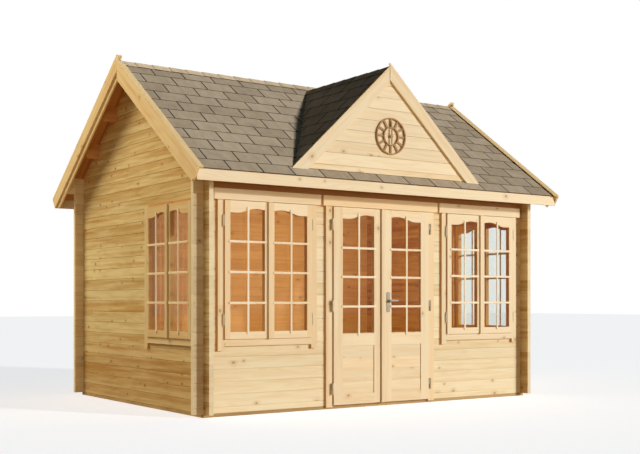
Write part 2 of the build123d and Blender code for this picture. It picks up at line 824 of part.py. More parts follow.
with BuildPart() as door_lever:
    lever_face = plate_thickness + lever_play
    for face, out in ((leaf_proud + lever_face, 1), (leaf_back - lever_face, -1)):
        with BuildSketch(door_plane.offset(face)):
            with Locations((lever_place, lever_height)):
                RegularPolygon(neck, neck_sides)
        extrude(amount=out * neck_length)
        with BuildSketch(door_plane.offset(face + out * (neck_length - arm_thickness))) as arm:
            with Locations((lever_place + lever_length / 2 - neck, lever_height)):
                Rectangle(lever_length, 2 * neck)
            chamfer(arm.vertices(), arm_corner)
        extrude(amount=out * arm_thickness)
    with BuildSketch(door_plane.offset(leaf_back - lever_face - lever_play)):
        with Locations((lever_place, lever_height)):
            Rectangle(spindle, spindle)
    extrude(amount=leaf_thickness + 2 * (lever_face + lever_play))
save(door_lever.part, "door_lever")
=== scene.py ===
# %% [markdown]
# # A garden log cabin, dressed in wood, shingles, glass and steel
#
# The cabin's logs, boards, sashes, doors and roof come as a fixed model with real sizes.
# This script never moves them. It gives each of them a finish, and it adds what is too small
# or too many for the model: the shingles, the glazing bars, the window hinges and the boards
# of the dormer. All is in metres, with the ground at zero, X along the front and Y to the rear.

# %% Load the fixed model
import math
import random
import bmesh
import bpy
from mathutils import Matrix, Vector


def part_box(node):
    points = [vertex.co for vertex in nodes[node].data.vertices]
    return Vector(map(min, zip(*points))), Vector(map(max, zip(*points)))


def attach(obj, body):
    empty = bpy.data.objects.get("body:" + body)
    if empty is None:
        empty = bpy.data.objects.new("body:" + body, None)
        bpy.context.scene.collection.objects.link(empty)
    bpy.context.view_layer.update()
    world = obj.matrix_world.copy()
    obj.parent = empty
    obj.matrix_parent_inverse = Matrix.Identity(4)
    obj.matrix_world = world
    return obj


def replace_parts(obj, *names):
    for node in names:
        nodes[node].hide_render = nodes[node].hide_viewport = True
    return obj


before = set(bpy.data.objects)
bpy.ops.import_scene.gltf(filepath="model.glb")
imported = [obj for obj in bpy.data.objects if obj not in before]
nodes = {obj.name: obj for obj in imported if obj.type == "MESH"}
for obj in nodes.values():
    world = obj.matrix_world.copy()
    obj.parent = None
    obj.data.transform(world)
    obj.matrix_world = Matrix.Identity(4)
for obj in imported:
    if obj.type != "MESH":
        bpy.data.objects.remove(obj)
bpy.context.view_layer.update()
scene = bpy.context.scene


def placed(name, data):
    """A new object, put into the scene."""
    made = bpy.data.objects.new(name, data)
    scene.collection.objects.link(made)
    return made


print("nodes in the fixed model:", len(nodes))

# %% [markdown]
# ## The camera
#
# A house is photographed with a level camera, so that upright edges stay upright, and the
# lens is shifted up to take in the roof. A tilted camera would make the walls lean, so the
# same is done here.

# %% Set up the level camera with its shifted lens
front_face = 1.43
side_face = 2.0
camera_place = (-6.418, -9.720, 1.046)
camera_turn = math.radians(-34.4363)
lens_length = 58.747
lens_shift = 0.1158

camera_data = bpy.data.cameras.new("camera")
camera_data.lens = lens_length
camera_data.shift_y = lens_shift
camera = placed("camera", camera_data)
camera.location = camera_place
camera.rotation_euler = (math.radians(90), 0, camera_turn)
scene.camera = camera
scene.view_settings.view_transform = "Standard"
to_corner = camera.location - Vector((-side_face, -front_face, 1))
print("camera to the front left corner:", round(to_corner.length, 2), "m")

# %% [markdown]
# ## Shader maths as plain formulas
#
# Wood needs dozens of Math nodes, and wiring them by hand hides what is being worked out. So
# a small class stands for an output socket and takes part in Python expressions: `1 - mask`
# adds the Math node that it says. Vectors use Vector Math. Colours go through Mix, because a
# Math node would turn them grey.

# %% Wire, one output socket


class Wire:
    """One output socket. Each operator on it adds the node that works it out."""

    def __init__(self, finish, socket):
        self.finish = finish
        self.socket = socket

    def maths(self, operation, *values):
        kind = "ShaderNodeVectorMath" if self.socket.type == "VECTOR" else "ShaderNodeMath"
        return self.finish.node(kind, {"operation": operation}, dict(enumerate(values)))

    def __add__(self, other):
        return self.maths("ADD", self, other)

    def __radd__(self, other):
        return self.maths("ADD", other, self)

    def __sub__(self, other):
        return self.maths("SUBTRACT", self, other)

    def __rsub__(self, other):
        return self.maths("SUBTRACT", other, self)

    def __mul__(self, other):
        return self.maths("MULTIPLY", self, other)

    def __rmul__(self, other):
        return self.maths("MULTIPLY", other, self)

    def __truediv__(self, other):
        return self.maths("DIVIDE", self, other)

    def __pow__(self, other):
        return self.maths("POWER", self, other)

    def __abs__(self):
        return self.maths("ABSOLUTE", self)

    def floor(self):
        return self.maths("FLOOR", self)

    def sine(self):
        return self.maths("SINE", self)

    def most(self, other):
        return self.maths("MAXIMUM", self, other)

    def above(self, limit):
        """1 where this value is over the limit, else 0."""
        return self.maths("GREATER_THAN", self, limit)

    def fade(self, start, end):
        """0 at start, 1 at end and soft between; start may be the larger."""
        inputs = {"Value": self, "From Min": start, "From Max": end}
        return self.finish.node("ShaderNodeMapRange", {"interpolation_type": "SMOOTHSTEP"}, inputs)


print("wires ready")

# %% [markdown]
# ## A material in the making
#
# A second class holds the node tree. Its node() method adds any node from its type, settings
# and inputs, so no other code touches the tree. Nodes that nearly every finish needs have
# short names of their own.

# %% Finish, and colours as they read on a screen


class Finish:
    """A material, or the world, in the making."""

    def __init__(self, name, world=None):
        self.material = world or bpy.data.materials.new(name)
        self.material.use_nodes = True
        self.tree = self.material.node_tree
        self.tree.nodes.clear()

    def node(self, kind, settings=None, inputs=None, output=0):
        new = self.tree.nodes.new(kind)
        count = len(self.tree.nodes)
        new.location = (200 * (count // 8), -180 * (count % 8))
        for key, value in (settings or {}).items():
            setattr(new, key, value)
        for key, value in (inputs or {}).items():
            if isinstance(value, Wire):
                self.tree.links.new(value.socket, new.inputs[key])
            else:
                new.inputs[key].default_value = value
        return Wire(self, new.outputs[output])

    def place(self):
        """The place on the object, which stays on the wood when a door turns."""
        return self.node("ShaderNodeTexCoord", {}, {}, "Object")

    def split(self, vector):
        return [self.node("ShaderNodeSeparateXYZ", {}, {0: vector}, axis) for axis in range(3)]

    def join(self, x, y, z):
        return self.node("ShaderNodeCombineXYZ", {}, {0: x, 1: y, 2: z})

    def noise(self, vector, scale=1.0, detail=2.0, roughness=0.5):
        inputs = {"Vector": vector, "Scale": scale, "Detail": detail, "Roughness": roughness}
        return self.node("ShaderNodeTexNoise", {}, inputs)

    def mix(self, mask, first, second, blend="MIX"):
        """first where the mask is 0 and second where it is 1."""
        settings = {"data_type": "RGBA", "blend_type": blend}
        return self.node("ShaderNodeMix", settings, {0: mask, 6: first, 7: second}, 2)

    def bump(self, height, strength, distance):
        inputs = {"Height": height, "Strength": strength, "Distance": distance}
        return self.node("ShaderNodeBump", {}, inputs)

    def light_path(self, ray):
        return self.node("ShaderNodeLightPath", {}, {}, ray)

    def surface(self, **inputs):
        """Finish the material with one Principled shader; Base_Color stands for Base Color."""
        named = {key.replace("_", " "): value for key, value in inputs.items()}
        return self.show(self.node("ShaderNodeBsdfPrincipled", {}, named))

    def show(self, shader, kind="ShaderNodeOutputMaterial"):
        self.tree.links.new(shader.socket, self.tree.nodes.new(kind).inputs[0])
        return self.material


def paint(red, green, blue):
    """A colour as it reads on a screen, 0 to 255, in the linear values that shaders take."""
    parts = [value / 255 for value in (red, green, blue)]
    return tuple(p / 12.92 if p < 0.04045 else ((p + 0.055) / 1.055) ** 2.4 for p in parts) + (1.0,)


print("helpers ready")

# %% [markdown]
# ## Sunlight
#
# The cabin stands in low sun from the front right, which leaves the left wall in shade and
# draws a thin shadow under the eave and beside every trim board. A broad lamp could light the
# front too, but its shadows would be too wide. A sun lamp draws thin ones.

# %% A lamp, and the sun
sun_from = (0.59, -1.0, 0.32)
sun_strength = 1.38
sun_away = 12
sun_softness = math.radians(2.5)
sun_colour = (1.0, 1.0, 1.0)


def lamp(name, kind, place, aim, colour, energy):
    """A lamp at a place, turned to aim at a point."""
    data = bpy.data.lights.new(name, kind)
    data.color = colour
    data.energy = energy
    made = placed(name, data)
    made.location = place
    made.rotation_euler = (Vector(aim) - Vector(place)).to_track_quat("-Z", "Y").to_euler()
    made.visible_camera = False
    return made


def sun_lamp(name, direction, strength):
    made = lamp(name, "SUN", Vector(direction) * sun_away, (0, 0, 0), sun_colour, strength)
    made.data.angle = sun_softness
    return made


sun = sun_lamp("sun", sun_from, sun_strength)
sun_height = math.atan2(sun_from[2], math.hypot(*sun_from[:2]))
print("sun stands", round(math.degrees(sun_height)), "degrees high")

# %% [markdown]
# ## Soft lamps
#
# Sky, ground and wood throw light back into the shade. One bright world could stand for that,
# but it gives every shade the same grey. So there are four broad lamps: in front, high on the
# left, low by the left corner, and in the room, aimed at its rear wall. Panes don't mirror
# them, as a lamp in a pane reads as a white sheet.

# %% Front, side, corner and room lamps
soft_lights = {
    # place, aim, colour, watts, size
    "front_light": ((9.5, -12.5, 3.5), (0.0, -1.4, 1.3), (1.0, 0.98, 0.93), 990.0, 5.0),
    "side_light": ((-9.5, 5.5, 11.5), (-2.0, 0.0, 1.5), (1.0, 0.91, 0.68), 1900.0, 8.0),
    "corner_light": ((-9.0, -9.0, 2.5), (-2.0, -1.4, 1.3), (1.0, 0.84, 0.62), 160.0, 6.0),
    "room_light": ((0.5, -1.05, 2.1), (-0.1, 1.38, 1.35), (1.0, 0.82, 0.52), 44.0, 1.2),
}
lamps = {}
for name, (place, aim, colour, watts, size) in soft_lights.items():
    made = lamp(name, "AREA", place, aim, colour, watts)
    made.data.size = size
    made.visible_glossy = False
    lamps[name] = made
print("soft lamps:", ", ".join(lamps))

# %% [markdown]
# ## A dim sky and a white backdrop
#
# The world adds only a little bluish light. A ray that comes straight from the camera, or
# through a pane, meets plain white instead, so the backdrop is white with no more light on
# the wood. What a pane mirrors is between the two, which keeps a gloss on the glass.

# %% The world
world_strength = 0.065
mirrored_strength = 0.25
world_colour = (0.55, 0.78, 1.0, 1.0)
white = (1.0, 1.0, 1.0, 1.0)

world = bpy.data.worlds.new("world")
scene.world = world
sky = Finish("sky", world)
seen = sky.light_path("Is Camera Ray").most(sky.light_path("Is Transmission Ray"))
soft = sky.light_path("Is Glossy Ray") * (mirrored_strength - world_strength) + world_strength
lighting = sky.node("ShaderNodeBackground", {}, {"Color": world_colour, "Strength": soft})
backdrop = sky.node("ShaderNodeBackground", {}, {"Color": white, "Strength": 1.0})
sky.show(sky.node("ShaderNodeMixShader", {}, {0: seen, 1: lighting, 2: backdrop}), "ShaderNodeOutputWorld")
print("world strength", world_strength, "and", mirrored_strength, "in the glass")

# %% [markdown]
# ## The ground
#
# A wide pale floor takes the cabin's shadow, and to the camera it is nearly white. To every
# other ray it is a warm brown with a glow of its own, because sunlit ground is what lights
# the undersides of the eaves. A white floor would turn that light cold.

# %% The floor
floor_pale = paint(240, 240, 240)
floor_bounce = paint(150, 122, 84)
bounce_glow = paint(152, 124, 86)
floor_glow = (0.74, 0.74, 0.74, 1.0)
floor_reach = 60.0

floor_finish = Finish("studio_floor")
floor_seen = floor_finish.light_path("Is Camera Ray")
matt_colour = floor_finish.mix(floor_seen, floor_bounce, floor_pale)
matt = floor_finish.node("ShaderNodeBsdfDiffuse", {}, {"Color": matt_colour})
glow_colour = floor_finish.mix(floor_seen, bounce_glow, floor_glow)
glow = floor_finish.node("ShaderNodeEmission", {}, {"Color": glow_colour, "Strength": 1.0})
floor_finish.show(floor_finish.node("ShaderNodeAddShader", {}, {0: matt, 1: glow}))
floor_mesh = bpy.data.meshes.new("studio_floor")
corners = [(x * floor_reach, y * floor_reach, 0) for x, y in ((-1, -1), (1, -1), (1, 1), (-1, 1))]
floor_mesh.from_pydata(corners, [], [(0, 1, 2, 3)])
floor_mesh.materials.append(floor_finish.material)
studio_floor = placed("studio_floor", floor_mesh)
print("floor reaches", floor_reach, "m each way")

# %% [markdown]
# ## How boards are laid
#
# Grain follows the board, so the recipe for pine has to know which way a board runs and
# where the next one begins. A piece of the model can be a whole wall, so this is worked out
# from the place on the piece. A layout turns a place into the way along the board, through
# it and across it, the number of the board, and how far the nearest joint is.

# %% Level and upright boards, sloping boards, and frames of both
one_board = 9.0


def laid(along, depth, across, start=0.0, pitch=one_board):
    """Boards side by side. The axes of the grain, through and across them, the first edge, the width."""

    def lay(axes):
        count = (axes[across] - start) / pitch
        number = count.floor()
        inside = count - number
        to_joint = (0.5 - abs(inside - 0.5)) * pitch
        return axes[along], axes[depth], (inside - 0.5) * pitch, number, to_joint

    return lay


def sloping(run, other, alpha, ridge, pitch=None):
    """Boards down both sides of a ridge: one on edge or, with a pitch, many side by side."""
    cos = math.cos(alpha)
    sin = math.sin(alpha)
    half_board = 0.06

    def lay(axes):
        out = abs(axes[run])
        along = out * cos - axes["z"] * sin
        below = out * sin + axes["z"] * cos - (ridge * cos - half_board)
        if not pitch:
            return along, axes[other], below, axes[run].above(0.0), out + 1.0
        count = axes[other] / pitch
        number = count.floor()
        inside = count - number
        return along, below, (inside - 0.5) * pitch, number, (0.5 - abs(inside - 0.5)) * pitch

    return lay


def framed(upright_places, upright, level):
    """Stiles and rails in one piece: the upright boards where the mask is 1, else the level ones."""

    def lay(axes):
        mask = upright_places(axes)
        return [mask * first + (1 - mask) * second for first, second in zip(upright(axes), level(axes))]

    return lay


print("layouts ready")

# %% [markdown]
# ## Planed pine
#
# Every board is sawn from a trunk, so its figure is a cut through rings round a pith. The
# rings are worked out in space from a pith that lies somewhere beside each board. The same
# formula then gives long lines on the faces and arcs on the end grain, with no image and no
# seam at an edge. Knots are branches, so rings bend round them. Each board gets its own
# random shift, which is what makes a wall of logs read as separate trees.

# %% One recipe for all the pine
ring_spacing = 0.0042
knot_run = 0.30
knot_rise = 0.10
knot_brown = paint(136, 90, 44)
knot_heart = paint(202, 164, 106)
gap_brown = paint(120, 74, 32)
# Honey of the inner wood, and also the warm painted shade of rebates and gaps
honey_and_shade_tint = (0.84, 0.58, 0.33, 1.0)
# Painted shade for stubs, the logs under the eave and the foot of the side walls
painted_shade_tint = (0.56, 0.34, 0.20, 1.0)
# The pale of the sunlit front logs, painted as light on the sawn ends
sunlit_sawn_pale = paint(243, 229, 194)


def pine(name, lay, pale, honey, variation=1.0, knots=0.25, knot_tone=0.5, gap=0.0, seed=0.0,
         honey_and_shade=None, ends=None):
    """A planed pine finish.

    pale is its sapwood and honey its heartwood. variation is how much boards differ, knots the
    share of places that have a knot, and gap how dark a joint is drawn. honey_and_shade gives a
    mask for a honey tint: on the inner wood it is its own colour, in rebates and gaps it is
    painted shade. ends gives two masks: of painted shade, and of sawn ends with painted light.
    """
    finish = Finish(name)
    place = finish.place()
    axes = dict(zip("xyz", finish.split(place)))
    along, depth, across, number, to_joint = lay(axes)
    lot = {"Vector": finish.join(number, seed, 0.0)}
    chance = finish.node("ShaderNodeTexWhiteNoise", {"noise_dimensions": "2D"}, lot, "Color")
    chance_a, chance_b, chance_c = finish.split(chance)
    run = along + chance_a * 17.0

    # Knots: one branch may cross each cell of a stretched grid
    cell_place = finish.join(run / knot_run, across / knot_rise + chance_b * 9.0, 0.0)
    flat = {"voronoi_dimensions": "2D"}
    grid = {"Vector": cell_place, "Scale": 1.0}
    cells = finish.node("ShaderNodeTexVoronoi", flat, grid, "Position")
    cell_colour = finish.node("ShaderNodeTexVoronoi", flat, grid, "Color")
    cell_size, cell_has = finish.split(cell_colour)[:2]
    off_run, off_rise = finish.split(cells - cell_place)[:2]
    rough_edge = finish.noise(place, 90.0, 2.0) - 0.5
    oval = ((off_run * knot_run * 0.72) ** 2.0 + (off_rise * knot_rise) ** 2.0) ** 0.5
    knot_far = oval + rough_edge * 0.004
    radius = (cell_size * 0.009 + 0.007) * 0.8
    there = cell_has.above(1 - knots)
    knot = knot_far.fade(radius * 1.25, radius * 0.75) * there
    heart = knot_far.fade(radius * 0.75, radius * 0.45) * there
    swirl = knot_far.fade(radius * 4.5, radius) * there

    # Growth rings round a pith that is different for each board
    pith_depth = depth - (chance_b - 0.5) * 0.10
    pith_across = across - (chance_c - 0.5) * 0.14
    wander = finish.noise(finish.join(run * 0.9, across * 7.0, depth * 7.0)) - 0.5
    straight = (pith_depth ** 2.0 + pith_across ** 2.0) ** 0.5
    from_pith = straight + wander * 0.030 + swirl * radius * 1.3
    rings = ((from_pith * (2 * math.pi / ring_spacing)).sine() * 0.5 + 0.5) ** 2.0

    # Long streaks of sapwood and heartwood, and fine fibre
    streak = finish.noise(finish.join(run * 1.1, depth * 12.0, across * 24.0), 1.0, 3.0, 0.55)
    broad = finish.noise(finish.join(run * 0.35, depth * 3.0, across * 9.0))
    fibre = finish.noise(finish.join(run * 14.0, depth * 420.0, across * 420.0), 1.0, 2.0, 0.6)
    own = (chance_a - 0.5) * 0.75 * variation
    warmth = (streak - 0.5) * 1.7 + (broad - 0.5) * 1.2 + own + 0.42
    colour = finish.mix(warmth.fade(0.0, 1.0), pale, honey)
    colour = finish.mix(rings * 0.16, colour, honey, "MULTIPLY")
    colour = finish.mix(swirl * 0.30, colour, knot_heart)
    colour = finish.mix(knot * knot_tone, colour, knot_brown)
    colour = finish.mix(heart * 0.4, colour, knot_heart)
    colour = finish.mix(to_joint.fade(0.0055, 0.0010) * gap, colour, gap_brown)
    # The inner wood keeps its honey; rebates and gaps get the same tint as painted shade
    if honey_and_shade:
        colour = finish.mix(honey_and_shade(axes), colour, honey_and_shade_tint, "MULTIPLY")
    # Painted shade on stubs, under the eave and at the foot of a wall; painted light on sawn ends
    if ends:
        painted_shade, sawn = ends(axes)
        colour = finish.mix(painted_shade, colour, painted_shade_tint, "MULTIPLY")
        colour = finish.mix(sawn * 0.70, colour, sunlit_sawn_pale)
    value = (chance_c - 0.5) * 0.10 * variation + (fibre - 0.5) * 0.10 + 1.0
    colour = finish.node("ShaderNodeHueSaturation", {}, {"Value": value, "Color": colour})

    relief = finish.bump(fibre * 0.4 + rings * 0.5 - knot * 0.8, 0.35, 0.0009)
    gloss = (fibre - 0.5) * 0.16 - rings * 0.05 + 0.62
    return finish.surface(Base_Color=colour, Roughness=gloss, Normal=relief, Specular_IOR_Level=0.30)


def dress(finish, *names):
    """Put a finish on nodes of the fixed model."""
    for name in names:
        mesh = nodes[name].data
        mesh.materials.clear()
        mesh.materials.append(finish)


print("pine ready, with a ring every", ring_spacing * 1000, "mm")

# %% [markdown]
# ## Where wood is bleached, and where shade and light are painted
#
# Sun bleaches pine within weeks, while the inner side of a log keeps the colour of honey.
# Rebates and gaps get the same warm tint as painted shade. Log stubs, the logs under the eave
# and the foot of a side wall get a darker painted shade, and sawn ends get the pale of the
# sunlit front logs as painted light. A separate material for each of these would put a hard
# line on every log, so each is a mask that the recipe lays over the same wood.

# %% Masks for the pine
mid_log = 0.021
stub_front = 2.1
stub_side = 1.543
end_skin = 0.002
hair = 0.001


def band(value, low, high):
    """1 where a value lies between two limits."""
    return value.above(low) * (1 - value.above(high))


def indoors(axes):
    """1 on the inner half of the logs."""
    between_sides = 1 - abs(axes["x"]).above(side_face - mid_log)
    return between_sides * (1 - abs(axes["y"]).above(front_face - mid_log))


def shaded_recess(axis, face, back=0.0):
    """1 below a face near the wall's own, and not past a piece's back, where warm shade is painted on the
    wood.
    """
    return lambda axes: band(abs(axes[axis]), back, face)


def log_ends(axis, wall, tip, foot_shade):
    """Masks for logs along an axis: painted shade on the stubs and darker towards the foot, and the sawn
    ends.
    """

    def masks(axes):
        out = abs(axes[axis])
        # Painted shade on the stubs, and darker towards the foot of the wall
        stub = band(out, wall + hair, tip - end_skin) * 0.15
        foot = axes["z"].fade(1.0, 0.0) * foot_shade
        return stub.most(foot), out.above(tip - end_skin)

    return masks


def eave_shade(axes):
    """The same for the logs under the eave: painted shade between the corners, and the sawn ends."""
    out = abs(axes["x"])
    return 1 - out.above(side_face + hair), out.above(stub_front - end_skin)


print("masks ready")

# %% [markdown]
# ## Log walls
#
# The logs are 113 mm high. Those of the side walls start on the ground beams, and those of
# the front and rear half a course higher, which is what locks the corners. The finish is
# laid out by the same courses, so each log gets a figure of its own. The side walls are
# written with more honey and darker knots than the front, which is painted shade.

# %% The logs
course = 0.113
sill_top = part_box("ground_beams")[1].z
front_pale = paint(243, 229, 194)
front_honey = paint(233, 210, 166)
front_logs = laid("x", "y", "z", sill_top + course / 2, course)
side_logs = laid("y", "x", "z", sill_top, course)
# Painted shade on the stubs of all walls, and at the foot of the side walls
front_ends = log_ends("x", side_face, stub_front, 0.0)
side_ends = log_ends("y", front_face, stub_side, 0.30)

log_wall = pine(
    "front_logs", front_logs, front_pale, front_honey,
    knots=0.3, seed=1.0, honey_and_shade=indoors, ends=front_ends,
)
rear_log_wall = pine(
    "rear_logs", front_logs, front_pale, front_honey,
    gap=0.2, seed=1.5, honey_and_shade=indoors, ends=front_ends,
)
# Side logs: more honey and darker knots than the front, painted shade of a wall out of the sun
side_log_wall = pine(
    "side_logs", side_logs, paint(233, 213, 160), paint(196, 155, 90), 0.7,
    knots=0.38, knot_tone=0.85, gap=0.15, seed=2.0, honey_and_shade=indoors, ends=side_ends,
)
# Under the eave the logs get painted shade between the corners
eave_logs = pine("eave_logs", front_logs, front_pale, front_honey, seed=1.0, honey_and_shade=indoors, ends=eave_shade)
dress(log_wall, "front_wall_left", "front_wall_right")
dress(eave_logs, "front_wall_top")
dress(rear_log_wall, "rear_wall")
dress(side_log_wall, "left_wall", "right_wall", "left_gable", "right_gable")
print("log walls dressed, courses of", course * 1000, "mm")

# %% [markdown]
# ## Boards, beams and trim
#
# Roof and floor boards are sawn wood that lies side by side, so their joints are drawn. The
# floor boards are warmer wood, and the roof boards, seen from below under the eave, are written
# deep orange as painted shade. Barge boards follow the slope of the roof, and their grain has
# to follow it too, or it would run out across the board. Their golden colour is painted shade.
# Fascias and beams are single level boards.

# %% Roof slopes, and boards along them
board_width = 0.096
roof_alpha = math.atan(0.7217)
ridge_high = 3.440
dormer_alpha = math.atan(0.943)
dormer_high = 3.367
trim_pale = paint(245, 228, 194)
trim_honey = paint(238, 212, 168)
# Roof boards under the eave: deep orange, painted shade
roof_shade_pale = paint(206, 150, 88)
roof_shade_honey = paint(176, 110, 52)

roof_lay = sloping("y", "x", roof_alpha, ridge_high, board_width)
dormer_lay = sloping("x", "y", dormer_alpha, dormer_high, board_width)
barge_lay = sloping("y", "x", roof_alpha, ridge_high)
dormer_barge_lay = sloping("x", "y", dormer_alpha, dormer_high)
soffit = pine("roof_boards", roof_lay, roof_shade_pale, roof_shade_honey, gap=0.8, seed=6.0)
dormer_soffit = pine("dormer_roof_boards", dormer_lay, roof_shade_pale, roof_shade_honey, gap=0.8, seed=6.5)
# Barge boards: more golden than the trim, painted shade
barges = pine("barge_boards", barge_lay, paint(240, 214, 166), paint(222, 184, 124), seed=5.0)
dormer_barges = pine("dormer_boards", dormer_barge_lay, trim_pale, trim_honey, seed=5.5)
dress(soffit, "roof_boards_front", "roof_boards_rear")
dress(dormer_soffit, "dormer_boards_left", "dormer_boards_right")
dress(barges, "barge_boards_left", "barge_boards_right")
dress(dormer_barges, "dormer_barge_boards")
print("roof slopes:", round(math.degrees(roof_alpha)), "and", round(math.degrees(dormer_alpha)), "degrees")

# %% Level boards and beams
level_board = laid("x", "y", "z")
floor_lay = laid("x", "z", "y", 0.0, board_width)
level_trim = pine("level_boards", laid("x", "y", "z", 0.0, 0.50), trim_pale, trim_honey, seed=4.0)
rafters = pine("purlins", level_board, paint(224, 172, 112), paint(198, 138, 80), seed=7.0)
beams = pine("ground_beams", level_board, paint(198, 170, 122), paint(172, 140, 92), seed=9.0)
floor_boards = pine("floor_boards", floor_lay, paint(214, 164, 104), paint(190, 132, 74), gap=0.8, seed=8.0)
dress(level_trim, "fascia_front", "fascia_rear")
dress(rafters, "ridge_beam", "purlins")
dress(beams, "ground_beams")
dress(floor_boards, "floor")
print("floor boards", board_width * 1000, "mm wide")

# %% [markdown]
# ## Joinery
#
# A sash or a door is a frame: its stiles run up and its rails run across, and the grain
# follows each of them. The piece is one mesh here, so a mask made from the place across the
# window tells stiles from rails, and the recipe blends two directions of grain by it. The
# edges of rebates and gaps lie deeper than the face, and get a warm painted shade.

# %% Windows
pane_near = 0.051
pane_far = 0.418
sash_edge = 0.474
front_middle = 1.327
side_middle = -0.793
header_low = 1.965
sash_recess = 0.036
casing_recess = 0.020
windows = ("front_left_window", "front_right_window", "left_side_window", "right_side_window")


def from_middle(axes, axis, middle):
    """How far a place is from the middle of its window or door; left and right are alike."""
    place = axes[axis] if axis == "y" else abs(axes[axis])
    return abs(place - middle)


def stiles(axis, middle, near, far):
    return lambda axes: 1 - band(from_middle(axes, axis, middle), near, far)


def casings(axis, middle, edge):
    return lambda axes: from_middle(axes, axis, middle).above(edge) * (1 - axes["z"].above(header_low))


for number, window in enumerate(windows):
    if window.startswith("front"):
        axis, other, middle, wall = "x", "y", front_middle, front_face
        pale, honey = trim_pale, trim_honey
    else:
        axis, other, middle, wall = "y", "x", side_middle, side_face
        # The side windows are written darker than the front trim: painted shade
        pale, honey = paint(230, 208, 162), paint(218, 186, 132)
    upright = laid("z", other, axis)
    level = laid(axis, other, "z")
    sash_lay = framed(stiles(axis, middle, pane_near, pane_far), upright, level)
    case_lay = framed(casings(axis, middle, sash_edge), upright, level)
    # Rebates and linings get a warm painted shade
    rebate_shade = shaded_recess(other, wall + sash_recess)
    lining_shade = shaded_recess(other, wall + casing_recess)
    sash = pine(f"{window}_wood", sash_lay, pale, honey, knots=0.1, seed=20.0 + number, honey_and_shade=rebate_shade)
    case = pine(f"{window}_casing", case_lay, pale, honey, seed=24.0 + number, honey_and_shade=lining_shade)
    dress(sash, f"{window}_sashes")
    dress(case, f"{window}_frame")
print("windows dressed:", len(windows))

# %% Doors, and the dial over them
door_pane_near = 0.109
door_pane_far = 0.493
door_edge = 0.600
panel_low = 0.140
panel_board = 0.117
leaf_recess = 0.030
leaf_back = 0.0125

upright = laid("z", "y", "x")
panel_lay = laid("x", "y", "z", panel_low, panel_board)
leaf_lay = framed(stiles("x", 0.0, door_pane_near, door_pane_far), upright, panel_lay)
case_lay = framed(casings("x", 0.0, door_edge), upright, level_board)
# The edges of the door leaves get a warm painted shade
edges = shaded_recess("y", front_face + leaf_recess, front_face + leaf_back)
lining_shade = shaded_recess("y", front_face + casing_recess)
leaf_wood = pine("door_wood", leaf_lay, trim_pale, trim_honey, knots=0.15, gap=0.08, seed=30.0, honey_and_shade=edges)
case_wood = pine("door_casing", case_lay, trim_pale, trim_honey, seed=31.0, honey_and_shade=lining_shade)
dial_wood = pine("dial_wood", upright, paint(200, 162, 112), paint(176, 136, 88), knots=0.0, seed=32.0)
dress(leaf_wood, "door_leaf_left", "door_leaf_right")
dress(case_wood, "door_frame", "door_casing")
dress(dial_wood, "clock_dial", "clock_hands")
print("doors and dial dressed")

# %% [markdown]
# ## Glass
#
# A pane lets nearly all light through, and mirrors more of it the flatter one looks. A glass
# shader would bend the light and cost many bounces for a thin flat pane, so this is a clear
# shader mixed with a mirror. The share of the mirror rises with the fifth power of the
# angle, which Layer Weight gives alike for both sides of the pane.

# %% Window glass
pane = Finish("window_glass")
clear = pane.node("ShaderNodeBsdfTransparent", {}, {"Color": (0.95, 0.97, 0.96, 1.0)})
shine = pane.node("ShaderNodeBsdfGlossy", {}, {"Color": white, "Roughness": 0.02})
edge_on = pane.node("ShaderNodeLayerWeight", {}, {"Blend": 0.5}, "Facing")
mirrored = edge_on ** 5.0 * 0.96 + 0.04
pane.show(pane.node("ShaderNodeMixShader", {}, {0: mirrored, 1: clear, 2: shine}))
panes = [f"{window}_glass" for window in windows] + ["door_glass_left", "door_glass_right"]
dress(pane.material, *panes)
print("panes dressed:", len(panes))

# %% [markdown]
# ## Steel
#
# The handle is brushed, so its noise is stretched into fine upright lines. The hinges are
# zinc plated and dull. Their spots are small, and they are only a little metallic, because
# weathered zinc scatters most of the light.

# %% Brushed handle and zinc plated hinges
steel = Finish("brushed_steel")
brushing = steel.noise(steel.place() * (900.0, 900.0, 20.0))
steel_colour = steel.mix(brushing, paint(176, 170, 158), paint(138, 132, 120))
steel.surface(Base_Color=steel_colour, Metallic=0.6, Roughness=brushing * 0.2 + 0.34)
dress(steel.material, "handle_plates", "door_lever")

zinc = Finish("zinc_plated")
zinc_spots = zinc.noise(zinc.place(), 260.0, 3.0)
zinc_colour = zinc.mix(zinc_spots, paint(232, 220, 192), paint(206, 192, 162))
zinc.surface(Base_Color=zinc_colour, Metallic=0.15, Roughness=zinc_spots * 0.2 + 0.45)
dress(zinc.material, "door_hinges_left", "door_hinges_right", "frame_hinges_left", "frame_hinges_right")
print("steel dressed")

# %% [markdown]
# ## Shingles
#
# Felt shingles come in strips with tabs and slots between them. Each row covers the head of
# the row below and stands half a tab to the side, so that no slot lies over another. A tab
# is thickest where it lies over the row below, which gives the roof its stepped edge. Tiles
# drawn in a material would leave that edge flat, so each tab is a thin wedge on a felt
# sheet. Its face is covered with stone granules, and its cut edge is dark. A narrow strip
# along its butt and sides, and the sheet seen in the slots, take the same dark colour as
# painted shadow.

